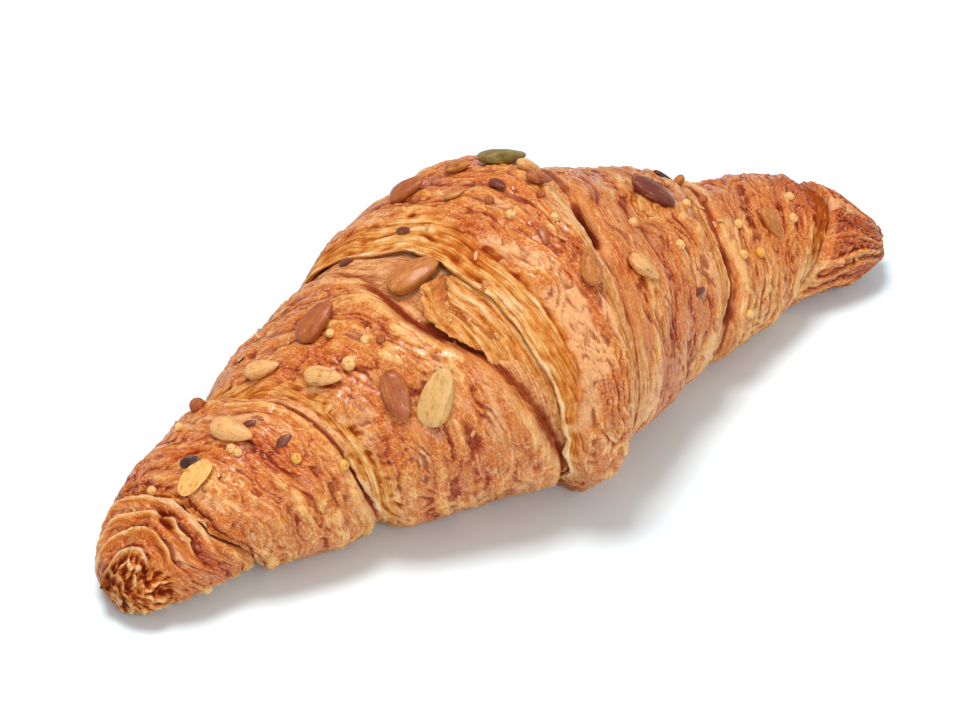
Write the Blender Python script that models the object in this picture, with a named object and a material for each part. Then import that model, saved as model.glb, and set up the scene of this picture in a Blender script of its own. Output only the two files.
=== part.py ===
# A straight seeded croissant, as one solid.
#
# The pastry is a long triangle of laminated dough rolled up from its base. Its point ends
# underneath, so each cut side of the triangle runs round the roll as a helix, from the middle
# out to an end, and leaves a step at every turn. The body here is a sphere of quads whose
# rings of vertices run along those cut sides. Each vertex is set on an envelope through
# measured stations, and on the puffed band between two steps. X runs along the roll, from the
# blunt end to the pinched one, Z is up, and the origin is under the middle, on the surface
# that the croissant lies on.

import bisect
import math

import bmesh
import bpy
from mathutils import Vector

MM = 0.001

# Envelope, in millimetres: place along X, half width, sideways bend and height of the middle line
STATIONS = (
    (-100.0, 0.0, -3.5, 7.0),
    (-97.0, 7.0, -3.5, 7.0),
    (-90.0, 12.0, -1.5, 9.0),
    (-75.0, 16.0, 0.5, 12.0),
    (-60.0, 20.0, 1.5, 15.0),
    (-45.0, 24.5, 2.5, 18.0),
    (-30.0, 30.0, 2.5, 22.0),
    (-15.0, 34.0, 1.0, 25.5),
    (0.0, 36.5, -0.5, 27.0),
    (15.0, 33.5, 4.0, 25.0),
    (30.0, 28.0, 7.0, 21.0),
    (45.0, 24.0, 8.5, 18.0),
    (60.0, 18.5, 9.5, 14.0),
    (75.0, 15.5, 10.0, 11.5),
    (88.0, 13.5, 8.0, 10.0),
    (96.0, 6.0, 3.0, 8.5),
    (100.0, 0.0, 2.0, 8.5),
)
SQUASH = 0.80  # half height over half width

# The two cut sides of the dough, in millimetres along X at each quarter turn from the point.
# The point is underneath, so the quarters fall under, in front, on top and behind in turn.
NEAR_SIDE = (-5.0, -16.0, -34.0, -39.0, -41.0, -48.0, -59.0, -66.0, -67.0, -74.5, -82.5, -90.0)
FAR_SIDE = (3.0, 5.5, 14.5, 28.0, 38.0, 44.5, 54.0, 62.0, 66.0, 75.0, 87.5, 90.0)
QUARTERS_PER_TURN = 4
TURNS = 3  # of each cut side that show
FLAT_QUARTERS = 0.24  # half the flat stretch underneath, in quarter turns

# Relief of the bands, in millimetres
PUFF = 1.4  # rise of a band between its steps
TONGUE_RISE = 1.4  # the outermost band, that of the dough's point, stands further out
GROOVE_DEPTH = 4.0  # a band sinks where it comes out from under the next one
GROOVE_REACH = 3.2
LIP_DROP = 1.2  # a band rounds over at its own cut side
LIP_REACH = 3.0
STEP_WIDTH = 0.8  # the steep face of a step
END_FADE = 9.0  # the relief fades this close to an end
FLOOR_EDGE = 2.0  # the relief fades this close to the base

# Rings of vertices in each band, from the near end to the far one
BAND_RINGS = (12, 8, 10, 12, 10, 9, 10)
SEGMENTS_ROUND = 70


def hermite(places, values, at):
    """A smooth curve through the values that never overshoots them."""
    at = min(max(at, places[0]), places[-1])
    i = min(bisect.bisect_right(places, at), len(places) - 1) - 1
    slopes = []
    for k in (i, i + 1):
        before = values[k] - values[k - 1] if k > 0 else 0.0
        after = values[k + 1] - values[k] if k + 1 < len(values) else 0.0
        if before * after <= 0:
            slopes.append(0.0)
            continue
        before /= places[k] - places[k - 1]
        after /= places[k + 1] - places[k]
        slopes.append(2 * before * after / (before + after))
    span = places[i + 1] - places[i]
    t = (at - places[i]) / span
    rise = values[i + 1] - values[i]
    return (
        values[i]
        + rise * t * t * (3 - 2 * t)
        + span * (slopes[0] * t * (1 - t) ** 2 - slopes[1] * t * t * (1 - t))
    )


def cut_side(quarters, turned):
    """Where a cut side lies along X after so many quarter turns from the dough's point."""
    return hermite(tuple(range(len(quarters))), quarters, turned)


def smoothstep(low, high, value):
    t = min(max((value - low) / (high - low), 0.0), 1.0)
    return t * t * (3 - 2 * t)


def crossing(sides, turn, lead):
    """Where one turn of a cut side lies along X, so many quarter turns on from underneath.

    A helix ends a turn further out than it starts. Underneath, where the body is flat and
    shows no step, the line therefore eases back to where it starts.
    """
    start = turn * QUARTERS_PER_TURN
    if lead >= FLAT_QUARTERS:
        return cut_side(sides, start + lead)
    eased = smoothstep(-FLAT_QUARTERS, FLAT_QUARTERS, lead)
    old = cut_side(sides, start + QUARTERS_PER_TURN - FLAT_QUARTERS)
    new = cut_side(sides, start + FLAT_QUARTERS)
    return old + (new - old) * eased


def band_limits(around):
    """The ends and the cut sides along a line at this angle, from the near end to the far one."""
    quarter = around / (math.pi / 2) + 1
    lead = (quarter + FLAT_QUARTERS) % QUARTERS_PER_TURN - FLAT_QUARTERS
    near = [crossing(NEAR_SIDE, turn, lead) for turn in reversed(range(TURNS))]
    far = [crossing(FAR_SIDE, turn, lead) for turn in range(TURNS)]
    return [STATIONS[0][0], *near, *far, STATIONS[-1][0]]


def ring_layout():
    """For each ring of vertices, its band and how far across the band it lies, from 0 to 1."""
    layout = []
    for band, rings in enumerate(BAND_RINGS):
        for ring in range(rings):
            crowded = (1 - math.cos(math.pi * ring / (rings - 1))) / 2
            layout.append((band, crowded))
    return layout


def relief(band, share, width):
    """Height over the envelope in a band, this share of its width on from its near limit."""
    from_near, to_far = share * width, (1 - share) * width
    if band == TURNS:
        to_lip = min(from_near, to_far)
        height = TONGUE_RISE + PUFF
    else:
        to_lip, from_groove = (from_near, to_far) if band < TURNS else (to_far, from_near)
        height = PUFF * math.sin(math.pi * min(to_lip / width, 0.5))
        height -= GROOVE_DEPTH * math.exp(-from_groove / GROOVE_REACH)
    if to_lip < LIP_REACH:
        height -= LIP_DROP * (1 - to_lip / LIP_REACH) ** 2
    return height


def body_point(band, share, around):
    """The surface point, in metres, for a place in a band and an angle round the roll."""
    limits = band_limits(around)
    low, high = limits[band], limits[band + 1]
    if band > 0:
        low += STEP_WIDTH / 2
    if band < len(BAND_RINGS) - 1:
        high -= STEP_WIDTH / 2
    x = low + (high - low) * share
    places, widths, bends, heights = zip(*STATIONS)
    half_width = hermite(places, widths, x)
    half_height = SQUASH * half_width
    level = hermite(places, heights, x) + half_height * math.sin(around)
    fade = smoothstep(0.0, END_FADE, places[-1] - abs(x)) * smoothstep(0.0, FLOOR_EDGE, level)
    outward = Vector((0.0, -math.cos(around) * half_height, math.sin(around) * half_width))
    outward.normalize()
    side = hermite(places, bends, x) - half_width * math.cos(around)
    point = Vector((x, side, level)) + outward * relief(band, share, high - low) * fade
    point.z = max(point.z, 0.0)
    return point * MM


def clear_scene():
    for obj in list(bpy.data.objects):
        bpy.data.objects.remove(obj, do_unlink=True)


def crust_material():
    material = bpy.data.materials.new("baked_crust")
    material.use_nodes = True
    shader = material.node_tree.nodes["Principled BSDF"]
    shader.inputs["Base Color"].default_value = (0.56, 0.24, 0.065, 1.0)
    shader.inputs["Roughness"].default_value = 0.45
    shader.inputs["Metallic"].default_value = 0.0
    return material


def make_croissant(collection):
    """A unit sphere with its poles at the ends of the roll, each vertex set on the body."""
    layout = ring_layout()
    last_ring = len(layout) - 1
    mesh = bpy.data.meshes.new("croissant")
    shape = bmesh.new()
    bmesh.ops.create_uvsphere(
        shape, u_segments=SEGMENTS_ROUND, v_segments=last_ring, radius=1.0
    )
    for vertex in shape.verts:
        polar = math.acos(min(max(vertex.co.z, -1.0), 1.0))
        around = math.atan2(vertex.co.y, vertex.co.x)
        band, share = layout[last_ring - round(polar / math.pi * last_ring)]
        vertex.co = body_point(band, share, around)
    bmesh.ops.reverse_faces(shape, faces=shape.faces)
    shape.to_mesh(mesh)
    shape.free()
    mesh.shade_smooth()
    mesh.materials.append(crust_material())
    croissant = bpy.data.objects.new("croissant", mesh)
    collection.objects.link(croissant)
    return croissant


def main():
    clear_scene()
    collection = bpy.data.collections.new("seeded_croissant")
    bpy.context.scene.collection.children.link(collection)
    make_croissant(collection)


main()
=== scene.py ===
# A straight seeded croissant on a white floor.
#
# The crust is modelled the way the pastry is rolled: bands of laminated dough that run round
# the roll as helices, each with a puffed skin, a stranded cut side and a groove where it comes
# out from under the next band. Lengths are in millimetres until a mesh is written.

import math

import bmesh
import bpy
import numpy as np
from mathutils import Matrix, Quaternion, Vector
from mathutils.bvhtree import BVHTree


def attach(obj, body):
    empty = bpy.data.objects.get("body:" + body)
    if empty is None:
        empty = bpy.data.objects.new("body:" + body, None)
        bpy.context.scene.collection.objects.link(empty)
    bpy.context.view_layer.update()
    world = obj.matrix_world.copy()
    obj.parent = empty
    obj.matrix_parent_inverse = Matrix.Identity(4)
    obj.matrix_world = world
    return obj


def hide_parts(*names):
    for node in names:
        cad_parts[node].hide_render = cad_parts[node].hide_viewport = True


MM = 0.001

# Envelope: place along X, half width, sideways bend and height of the middle line
STATIONS = np.array((
    (-100.0, 0.0, -3.5, 7.0), (-97.0, 7.0, -3.5, 7.0), (-90.0, 12.0, -1.5, 9.0),
    (-75.0, 16.0, 0.5, 12.0), (-60.0, 20.0, 1.5, 15.0), (-45.0, 24.5, 2.5, 18.0),
    (-30.0, 30.0, 2.5, 22.0), (-15.0, 34.0, 1.0, 25.5), (0.0, 36.5, -0.5, 27.0),
    (15.0, 33.5, 4.0, 25.0), (30.0, 28.0, 7.0, 21.0), (45.0, 24.0, 8.5, 18.0),
    (60.0, 18.5, 9.5, 14.0), (75.0, 15.5, 10.0, 11.5), (88.0, 13.5, 8.0, 10.0),
    (96.0, 6.0, 3.0, 8.5), (100.0, 0.0, 2.0, 8.5),
))
SQUASH = 0.80  # half height over half width
END = 100.0

# Edges of the dough: quarter turns from underneath, and place along X.
# Whole quarters fall underneath, in front, on top and behind in turn.
TONGUE_NEAR_EDGE = (
    (-0.3, -2.5), (0.0, -3.5), (0.53, -6.0), (0.91, -10.9), (1.23, -12.1), (1.47, -13.6),
    (1.68, -15.3), (1.8, -17.4), (1.95, -19.0), (2.05, -20.2), (2.12, -21.6), (2.2, -24.4),
    (2.28, -26.4), (2.4, -28.0), (2.56, -30.6), (2.7, -32.4), (3.0, -38.0), (4.3, -41.0),
)
TONGUE_FAR_EDGE = (
    (-0.3, 2.0), (0.0, 3.0), (0.79, 5.3), (1.13, 6.2), (1.47, 8.6), (1.78, 11.3),
    (2.06, 14.7), (3.0, 28.0), (4.3, 38.0),
)
NEAR_RIM = (
    (-0.3, -4.0), (0.0, -5.0), (0.58, -7.6), (0.97, -12.5), (1.2, -16.0), (1.45, -19.5),
    (1.7, -26.5), (1.85, -28.5), (2.07, -29.5), (2.25, -30.6), (2.63, -33.4), (3.0, -39.4),
    (4.0, -42.5), (4.8, -47.3), (5.0, -49.2), (5.5, -52.8), (5.9, -57.3), (6.2, -63.5),
    (7.0, -67.5), (8.2, -69.5),
)
NEAR_EDGE = (
    (3.7, -41.0), (4.0, -42.0), (4.8, -46.0), (5.0, -47.9), (5.5, -51.5), (5.9, -56.0),
    (6.2, -62.0), (7.0, -66.0), (8.0, -68.0), (8.77, -71.0), (9.07, -75.0), (9.3, -78.5),
    (9.8, -81.8), (10.4, -86.0), (11.0, -89.5), (12.2, -91.0),
)
FAR_RIM = (
    (-0.3, 3.5), (0.0, 4.5), (0.79, 6.4), (1.13, 7.4), (1.47, 9.8), (1.78, 12.6),
    (2.06, 16.0), (3.0, 29.2), (4.0, 39.2), (4.76, 43.8), (5.22, 48.0), (5.85, 53.3),
    (6.13, 57.3), (7.0, 63.2), (8.2, 67.2),
)
FAR_EDGE = (
    (3.7, 36.0), (4.0, 38.0), (4.76, 42.5), (5.02, 44.0), (5.22, 46.8), (5.6, 49.0),
    (5.85, 52.0), (6.13, 56.0), (7.0, 62.0), (8.0, 66.0), (8.77, 71.5), (9.13, 77.0),
    (9.38, 80.5), (9.66, 84.7), (9.87, 86.8), (11.0, 89.5), (12.2, 91.0),
)


# Curves and noise


def smooth(low, high, value):
    """0 up to low, 1 from high on, and a smooth step between."""
    t = np.clip((value - low) / (high - low), 0.0, 1.0)
    return t * t * (3 - 2 * t)


def hermite(places, values, at):
    """A smooth curve through the values that never overshoots them."""
    at = np.clip(at, places[0], places[-1])
    span = np.diff(places)
    rise = np.diff(values) / span
    before, after = rise[:-1], rise[1:]
    same_way = before * after > 0
    slopes = np.zeros(len(places))
    slopes[1:-1][same_way] = (2 * before * after)[same_way] / (before + after)[same_way]
    i = np.clip(np.searchsorted(places, at, side="right") - 1, 0, len(span) - 1)
    t = (at - places[i]) / span[i]
    bend = slopes[i] * t * (1 - t) ** 2 - slopes[i + 1] * t * t * (1 - t)
    return values[i] + rise[i] * span[i] * t * t * (3 - 2 * t) + span[i] * bend


def along_edge(edge, quarter):
    """The value of a table of edge points at so many quarter turns."""
    table = np.array(edge)
    return hermite(table[:, 0], table[:, 1], quarter)


def lattice(i, j, seed):
    """A fixed random angle for each corner of a square lattice."""
    mixed = (i * 374761393 + j * 668265263 + seed * 974634777) & 0xFFFFFFFF
    mixed = ((mixed ^ (mixed >> 13)) * 1274126177) & 0xFFFFFFFF
    return ((mixed ^ (mixed >> 16)) & 0xFFFF) * (2 * np.pi / 65536)


def noise(u, v, seed):
    """Gradient noise from about -1 to 1."""
    u, v = np.broadcast_arrays(u, v)
    i, j = np.floor(u).astype(np.int64), np.floor(v).astype(np.int64)
    fu, fv = u - i, v - j
    total = 0.0
    for di in (0, 1):
        for dj in (0, 1):
            angle = lattice(i + di, j + dj, seed)
            slope = np.cos(angle) * (fu - di) + np.sin(angle) * (fv - dj)
            weight_u = smooth(0, 1, 1 - np.abs(fu - di))
            total = total + slope * weight_u * smooth(0, 1, 1 - np.abs(fv - dj))
    return total * 1.6


def fractal(u, v, seed, octaves=3):
    """Layers of noise, each half as large and half as strong as the one before."""
    total, size = 0.0, 1.0
    for octave in range(octaves):
        total = total + size * noise(u * 2**octave, v * 2**octave, seed + 17 * octave)
        size *= 0.5
    return total


def shingles(field, steepness=0.16):
    """Overlapping layers: slow ramps with a sudden drop at each whole number, from 0 to 1."""
    part = field - np.floor(field)
    return part - smooth(1 - steepness, 1, part)


def ridges(field, sharpness=1.0):
    """Rounded ridges with sharp creases between them, one for each whole number, from 0 to 1."""
    return np.abs(np.sin(np.pi * field)) ** sharpness


def blurred(grid, cells):
    """A box blur along both directions of a grid."""
    for axis in (0, 1):
        reach = cells[axis]
        padded = np.pad(grid, [(reach, reach) if a == axis else (0, 0) for a in (0, 1)], "edge")
        summed = np.cumsum(np.insert(padded, 0, 0.0, axis=axis), axis=axis)
        size = 2 * reach + 1
        high = np.take(summed, range(size, summed.shape[axis]), axis=axis)
        low = np.take(summed, range(0, summed.shape[axis] - size), axis=axis)
        grid = (high - low) / size
    return grid


# The roll


def envelope(x):
    """Half width, sideways bend and height of the middle line at x."""
    return [hermite(STATIONS[:, 0], STATIONS[:, k], x) for k in (1, 2, 3)]


def on_roll(x, quarter, height, floor=0.0):
    """Points this high over the envelope, at x and so many quarter turns from underneath."""
    x = np.clip(x, -END, END)
    angle = (quarter - 1) * np.pi / 2
    half_width, bend, middle = envelope(x)
    half_height = SQUASH * half_width
    out_y, out_z = -np.cos(angle) * half_height, np.sin(angle) * half_width
    length = np.hypot(out_y, out_z) + 1e-9
    y = bend - half_width * np.cos(angle) + height * out_y / length
    z = middle + half_height * np.sin(angle) + height * out_z / length
    return np.stack(np.broadcast_arrays(x, y, np.maximum(z, floor)), axis=-1)


def wrap_length(quarter, x):
    """Length in millimetres of the way round the roll, along a line through these places."""
    points = on_roll(x, quarter, 0.0)
    return np.insert(np.cumsum(np.linalg.norm(np.diff(points, axis=0), axis=1)), 0, 0.0)


# Cross sections of a band, laid side by side into one grid.
# Rows run along the wrap and columns across it.


class Section:
    """Part of a band's cross section, before its fine relief."""

    FIELDS = ("x", "height", "normal_x", "normal_h", "exposed", "sunk", "hidden")

    def __init__(self, x, height, **others):
        shape = np.broadcast_shapes(np.shape(x), np.shape(height))
        values = {"x": x, "height": height, "normal_x": 0.0, "normal_h": 1.0}
        values.update({"exposed": 0.0, "sunk": 0.0, "hidden": 0.0}, **others)
        for field in self.FIELDS:
            setattr(self, field, np.broadcast_to(values[field], shape).astype(float))

    @classmethod
    def joined(cls, sections):
        """Sections side by side as one."""
        values = {
            field: np.hstack([getattr(section, field) for section in sections])
            for field in cls.FIELDS
        }
        return cls(values.pop("x"), values.pop("height"), **values)

    def across(self):
        """Distance across the band along its surface, for each column."""
        steps = np.hypot(np.diff(self.x, axis=1), np.diff(self.height, axis=1))
        return np.hstack([np.zeros((len(self.x), 1)), np.cumsum(steps, axis=1)])


LIP_COLUMNS = 12
UNDERSIDE_COLUMNS = 6
UNDERSIDE_REACH = 2.5
UNDERSIDE_DROP = 0.5


def lip(edge, top, radius, outward, reach=UNDERSIDE_REACH, exposed=1.0):
    """The rounded end of a band at its cut side, and its underside for a short reach."""
    angle = np.linspace(0, np.pi, LIP_COLUMNS)[None, 1:]
    nose = Section(
        edge + outward * radius * (np.sin(angle) - 1),
        top - radius * (1 - np.cos(angle)),
        normal_x=outward * np.sin(angle),
        normal_h=np.cos(angle),
        exposed=exposed,
        sunk=smooth(0.3, 1.0, (1 - np.cos(angle)) / 2),
    )
    back = np.linspace(0, 1, UNDERSIDE_COLUMNS)[None, 1:]
    under = Section(
        edge - outward * (radius + reach * back),
        top - 2 * radius - UNDERSIDE_DROP * back,
        normal_h=-1.0,
        exposed=exposed,
        sunk=1.0,
        hidden=back,
    )
    return Section.joined([nose, under])


def zoned(limits, counts):
    """Places across a band, with this many columns from each limit to the next."""
    zones = [
        low + (high - low) * np.linspace(0, 1, count + 1)[None, :-1]
        for low, high, count in zip(limits[:-1], limits[1:], counts)
    ]
    return np.hstack([*zones, limits[-1]])


def mirrored(section):
    """The same section with its columns in the other order."""
    values = {field: getattr(section, field)[:, ::-1] for field in Section.FIELDS}
    return Section(values.pop("x"), values.pop("height"), **values)


# Fine relief of the dough, in millimetres

LUMP_RISE = 0.75
PULL_RISE = 0.42
SHINGLE_RISE = 0.55
SILK_RISE = 0.10
PEBBLE_RISE = 0.20
BLISTER_RISE = 0.14
FLAKE_RISE = 0.24
SHEET_STEP = 0.26
STRAND_RISE = 0.16
STRAND_PITCH = 0.60
SKIN_THICKNESS = 0.35
CRUMB_RISE = 0.5
TORN_RISE = 0.24
HOLLOW_CELLS = ((5, 7), (14, 22))  # rows and columns over which a narrow and a wide hollow show
HOLLOW_DEPTHS = (0.5, 1.6)


def peel(u, v, seed):
    """Where the outer film of the skin has come off, from 0 to 1, in long ragged patches."""
    return smooth(0.50, 0.57, fractal(u / 15, v / 4.5, seed + 40, 5))


def skin_relief(u, v, seed):
    """Lumps, pull lines, overlapping flakes and blisters of a glazed skin."""
    lumps = LUMP_RISE * fractal(u / 17, v / 10, seed, 2)
    pulls = PULL_RISE * fractal(u / 26, v / 3.6, seed + 1, 2)
    layered = shingles(2.4 * fractal(u / 16, v / 8, seed + 2, 3) + v / 9)
    rough = smooth(-0.2, 0.6, fractal(u / 12, v / 9, seed + 15, 2))
    pebbles = PEBBLE_RISE * np.abs(fractal(u / 2.6, v / 2.2, seed + 16, 2))
    blisters = BLISTER_RISE * fractal(u / 1.2, v / 1.0, seed + 3, 2)
    flakes = FLAKE_RISE * shingles(2.2 * fractal(u / 8, v / 2.6, seed + 10, 3), 0.2)
    silk = SILK_RISE * fractal(u / 14, v / 1.1, seed + 18, 2)
    fine = (pebbles + blisters + flakes) * (0.25 + 0.75 * rough)
    return lumps + pulls + SHINGLE_RISE * (layered - 0.4) + silk + fine


def strand_relief(u, v, seed):
    """Thin layers of dough side by side, as they show at a cut side."""
    waves = fractal(u / 26, v / 7, seed + 4, 2)
    field = v / STRAND_PITCH + waves
    broken = 0.5 + 0.5 * noise(u / 12, np.floor(field) * 1.7, seed + 6)
    sheets = SHEET_STEP * (shingles(v / 2.3 + 0.4 * waves, 0.2) - 0.5)
    torn = TORN_RISE * fractal(u / 5, v / 1.6, seed + 11, 3)
    return STRAND_RISE * (ridges(field, 0.7) * broken - 0.4) + sheets + torn


def sheet_relief(u, v, seed):
    """The soft crumb of a sheet that was covered while it baked."""
    soft = CRUMB_RISE * fractal(u / 9, v / 5, seed + 7, 3)
    return soft + 0.12 * noise(u / 0.9, v / 0.8, seed + 8)


# Meshes


def grid_faces(rows, columns, flipped):
    """Quads of a grid of points, as corner numbers."""
    corner = np.arange(rows * columns).reshape(rows, columns)
    quads = [corner[:-1, :-1], corner[1:, :-1], corner[1:, 1:], corner[:-1, 1:]]
    faces = np.stack([quad.ravel() for quad in quads], axis=-1)
    return faces[:, ::-1] if flipped else faces


def make_mesh(name, points, faces, attributes=None):
    """A smooth mesh piece from points in millimetres, with numbers kept on its points."""
    mesh = bpy.data.meshes.new(name)
    mesh.from_pydata(points * MM, [], faces)
    for key, values in (attributes or {}).items():
        kind, slot = ("FLOAT", "value") if np.ndim(values) == 1 else ("FLOAT_VECTOR", "vector")
        attribute = mesh.attributes.new(key, kind, "POINT")
        attribute.data.foreach_set(slot, np.ascontiguousarray(values, np.float32).ravel())
    mesh.validate()
    mesh.shade_smooth()
    piece = bpy.data.objects.new(name, mesh)
    bpy.context.scene.collection.objects.link(piece)
    return piece


def toast(x, quarter, u, v, seed):
    """How strongly the crust has browned, from 0 to 1: most at both ends, least low in front."""
    patches = 0.35 + 0.3 * fractal(u / 26, v / 13, seed + 12, 2)
    ends = 0.6 * smooth(70, 88, x) + 0.4 * smooth(-76, -92, x)
    low = 0.25 * smooth(1.3, 0.9, quarter % 4) * smooth(0.3, 0.7, quarter % 4)
    return np.clip(patches + ends - low, 0, 1)


def crust_piece(name, quarter, section, seed, bare=0.0, flipped=False, floor=0.0, pleated=False):
    """Adds the fine relief to a band and makes its mesh. A pleated one has its grain along X."""
    quarter = np.broadcast_to(quarter, section.x.shape)
    middle = section.x.shape[1] // 2
    u = wrap_length(quarter[:, middle], section.x[:, middle])[:, None] + 37.0 * seed
    v = section.across()
    if pleated:
        u, v = v, u
    exposed, shown = section.exposed, 1 - section.hidden
    peeled = np.maximum(peel(u, v, seed), bare)
    relief = skin_relief(u, v, seed) + SKIN_THICKNESS * (1 - peeled)
    relief += (strand_relief(u, v, seed) - relief) * exposed
    relief += (sheet_relief(u, v, seed) - relief) * section.sunk * (1 - exposed)
    relief = relief * shown
    x = section.x + section.normal_x * relief
    height = section.height + section.normal_h * relief
    lowest = floor + 0.6 * section.hidden + 0.05 * (1 + noise(u / 5, v / 5, seed + 9))
    points = on_roll(x, quarter, height, lowest)
    # How far each point lies below the surface round it, narrow and wide: the material paints
    # shade into these hollows and light onto the ridges.
    hollow, hollow_wide = [
        np.clip((blurred(height, cells) - height) / depth, -1, 1)
        for cells, depth in zip(HOLLOW_CELLS, HOLLOW_DEPTHS)
    ]
    grain = np.stack(np.broadcast_arrays(u, v, 31.0 * seed), axis=-1)
    attributes = {
        "grain": grain.reshape(-1, 3),
        "exposed": exposed.ravel(),
        "sunk": section.sunk.ravel(),
        "hollow": hollow.ravel(),
        "hollow_wide": hollow_wide.ravel(),
        "peeled": (peeled * (1 - exposed)).ravel(),
        "toast": toast(x, quarter, u, v, seed).ravel(),
    }
    faces = grid_faces(*section.x.shape, flipped)
    return make_mesh(name, points.reshape(-1, 3), faces, attributes)


# The bands


def ragged(quarter, x, seed):
    """An uneven line along a band, in millimetres."""
    u = wrap_length(quarter[:, 0], x[:, 0])[:, None]
    steps = np.floor(1.5 * noise(u / 3, 0.2, seed))
    return 0.8 * fractal(u / 6, 0.37, seed, 3) + 0.5 * steps


def frayed(quarter, seed):
    """The small waves and nicks of a cut side, in millimetres."""
    waves = 0.5 * fractal(quarter * 6, 0.5, seed, 2)
    return waves + 0.1 * fractal(quarter * 28, 0.5, seed + 1, 2)


TONGUE_RISE = 1.6
TONGUE_PUFF = 1.2
TONGUE_NEAR_STRANDS = (
    (-0.3, 1.5), (0.9, 1.6), (1.1, 2.4), (1.3, 4.2), (1.47, 6.2), (1.78, 6.0), (2.0, 6.2),
    (2.2, 7.6), (2.35, 6.0), (2.6, 4.6), (3.0, 4.2), (4.3, 4.0),
)
TONGUE_FAR_STRANDS = ((-0.3, 2.0), (1.0, 3.2), (1.5, 4.6), (2.0, 5.0), (3.0, 4.4), (4.3, 4.0))
TONGUE_NEAR_LIP = ((-0.3, 0.7), (1.2, 0.7), (1.6, 0.7), (2.0, 0.45), (2.6, 0.45), (4.3, 0.7))
TONGUE_SPAN = (-0.25, 4.22)  # quarter turns
TONGUE_ROWS = 430
TONGUE_COLUMNS = (46, 90, 40)
TONGUE_FAR_RADIUS = 0.4
TUCK_DEPTH = 2.6  # how far the dough's point sinks where the roll lies on it
TUCK_QUARTERS = (3.75, 4.1)
TUCK_FLOOR = 0.2  # rise of the base over the sinking of the point
LEDGE_QUARTER = 2.56  # where the near cut side stands out as a pointed ledge
LEDGE_SPREAD = 0.13
LEDGE_REACH = 1.2
LEDGE_SLOPE = 7.0
STRAND_LIMIT = 0.3  # share of the tongue's width that its strands may take at each side
STRAND_DROP = 1.5
STRAND_SLOPE = 1.5  # how far beyond the strands a band still slopes down
FAR_SLOPE = 5.5


def exposure(from_edge, width, quarter, x, seed):
    """How far the strands of a cut side show: 1 at the edge and 0 on the skin."""
    return 1 - smooth(-0.9, 0.9, from_edge - width - ragged(quarter, x, seed))


BARE_PATCH_EDGE = (
    (1.0, -7.0), (1.11, -6.0), (1.2, -5.1), (1.27, -2.3), (1.37, -0.5), (1.43, -1.7),
    (1.53, -1.1), (1.62, -3.0),
)


def bare_patch(x, quarter):
    """The long patch beside the tongue's near strands where the glazed film has torn off."""
    edge = along_edge(BARE_PATCH_EDGE, quarter) + 0.9 * fractal(quarter * 14, 0.4, 51, 4)
    ends = smooth(1.02, 1.08, quarter) * smooth(1.64, 1.58, quarter)
    return smooth(0.25, -0.1, x - edge) * ends


def make_tongue():
    """The outermost band, which ends in the dough's point underneath."""
    quarter = np.linspace(*TONGUE_SPAN, TONGUE_ROWS)[:, None]
    ledge = np.exp(-(((quarter - LEDGE_QUARTER) / LEDGE_SPREAD) ** 2))
    near = along_edge(TONGUE_NEAR_EDGE, quarter) + frayed(quarter, 13) - LEDGE_REACH * ledge
    far = along_edge(TONGUE_FAR_EDGE, quarter) + frayed(quarter, 14)
    near_radius, far_radius = along_edge(TONGUE_NEAR_LIP, quarter), TONGUE_FAR_RADIUS
    near_width = np.minimum(along_edge(TONGUE_NEAR_STRANDS, quarter), STRAND_LIMIT * (far - near))
    far_width = np.minimum(along_edge(TONGUE_FAR_STRANDS, quarter), STRAND_LIMIT * (far - near))
    limits = [near + near_radius, near + near_radius + near_width]
    limits += [far - far_radius - far_width, far - far_radius]
    x = zoned(limits, TONGUE_COLUMNS)
    share = (x - limits[0]) / (limits[-1] - limits[0])
    from_near, from_far = x - near, far - x
    strands_near = exposure(from_near, near_width, quarter, x, 11)
    strands_far = exposure(from_far, far_width, quarter, x, 12)
    height = TONGUE_RISE + TONGUE_PUFF * np.sin(np.pi * np.clip(share, 0.0, 1.0)) ** 0.6
    height = height - STRAND_DROP * (1 - smooth(0, near_width + STRAND_SLOPE, from_near))
    height = height - 1.4 * STRAND_DROP * (1 - smooth(0, FAR_SLOPE, from_far))
    height = height + ledge * (1 - smooth(0, LEDGE_SLOPE, from_near))
    tucked = TUCK_DEPTH * smooth(*TUCK_QUARTERS, quarter)
    height = height - tucked
    body = Section(x, height, exposed=np.maximum(strands_near, strands_far))
    near_lip = mirrored(lip(near, height[:, :1], near_radius, -1))
    far_lip = lip(far, height[:, -1:], far_radius, 1)
    section = Section.joined([near_lip, body, far_lip])
    bare = bare_patch(section.x, quarter)
    return crust_piece("crust_tongue", quarter, section, 1, bare, True, tucked * TUCK_FLOOR)


NEAR_GROOVE = (
    (3.8, 0.8), (4.6, 1.2), (4.9, 2.0), (5.2, 2.2), (5.6, 2.6), (5.85, 2.4), (6.05, 1.7),
    (6.25, 0.8), (6.5, 0.3), (7.2, 0.4), (8.6, 0.9), (8.9, 2.2), (9.25, 2.6), (9.5, 0.9),
    (12.2, 0.6),
)
FAR_GROOVE = (
    (3.8, 0.4), (5.5, 0.1), (5.66, 0.6), (5.76, 3.8), (5.86, 3.6), (5.96, 0.6), (6.2, 0.2),
    (8.6, 0.5), (8.92, 1.4), (9.05, 3.0), (9.42, 3.2), (9.6, 1.0), (12.2, 0.6),
)
NEAR_SHOULDER = (
    (3.8, 1.2), (4.7, 2.0), (5.0, 3.4), (5.25, 4.8), (5.5, 5.0), (5.75, 4.0), (6.05, 3.4),
    (6.4, 2.4), (7.0, 1.6), (8.7, 1.6), (9.0, 2.0), (9.4, 1.6), (12.2, 1.0),
)
FAR_SHOULDER = (
    (3.8, 2.4), (5.6, 2.6), (5.8, 2.0), (6.0, 2.4), (8.6, 2.2), (8.9, 3.2), (9.3, 3.8),
    (9.6, 2.0), (12.2, 1.4),
)
COIL_LIP = ((3.8, 0.8), (8.3, 0.7), (8.9, 0.45), (12.2, 0.4))
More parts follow.
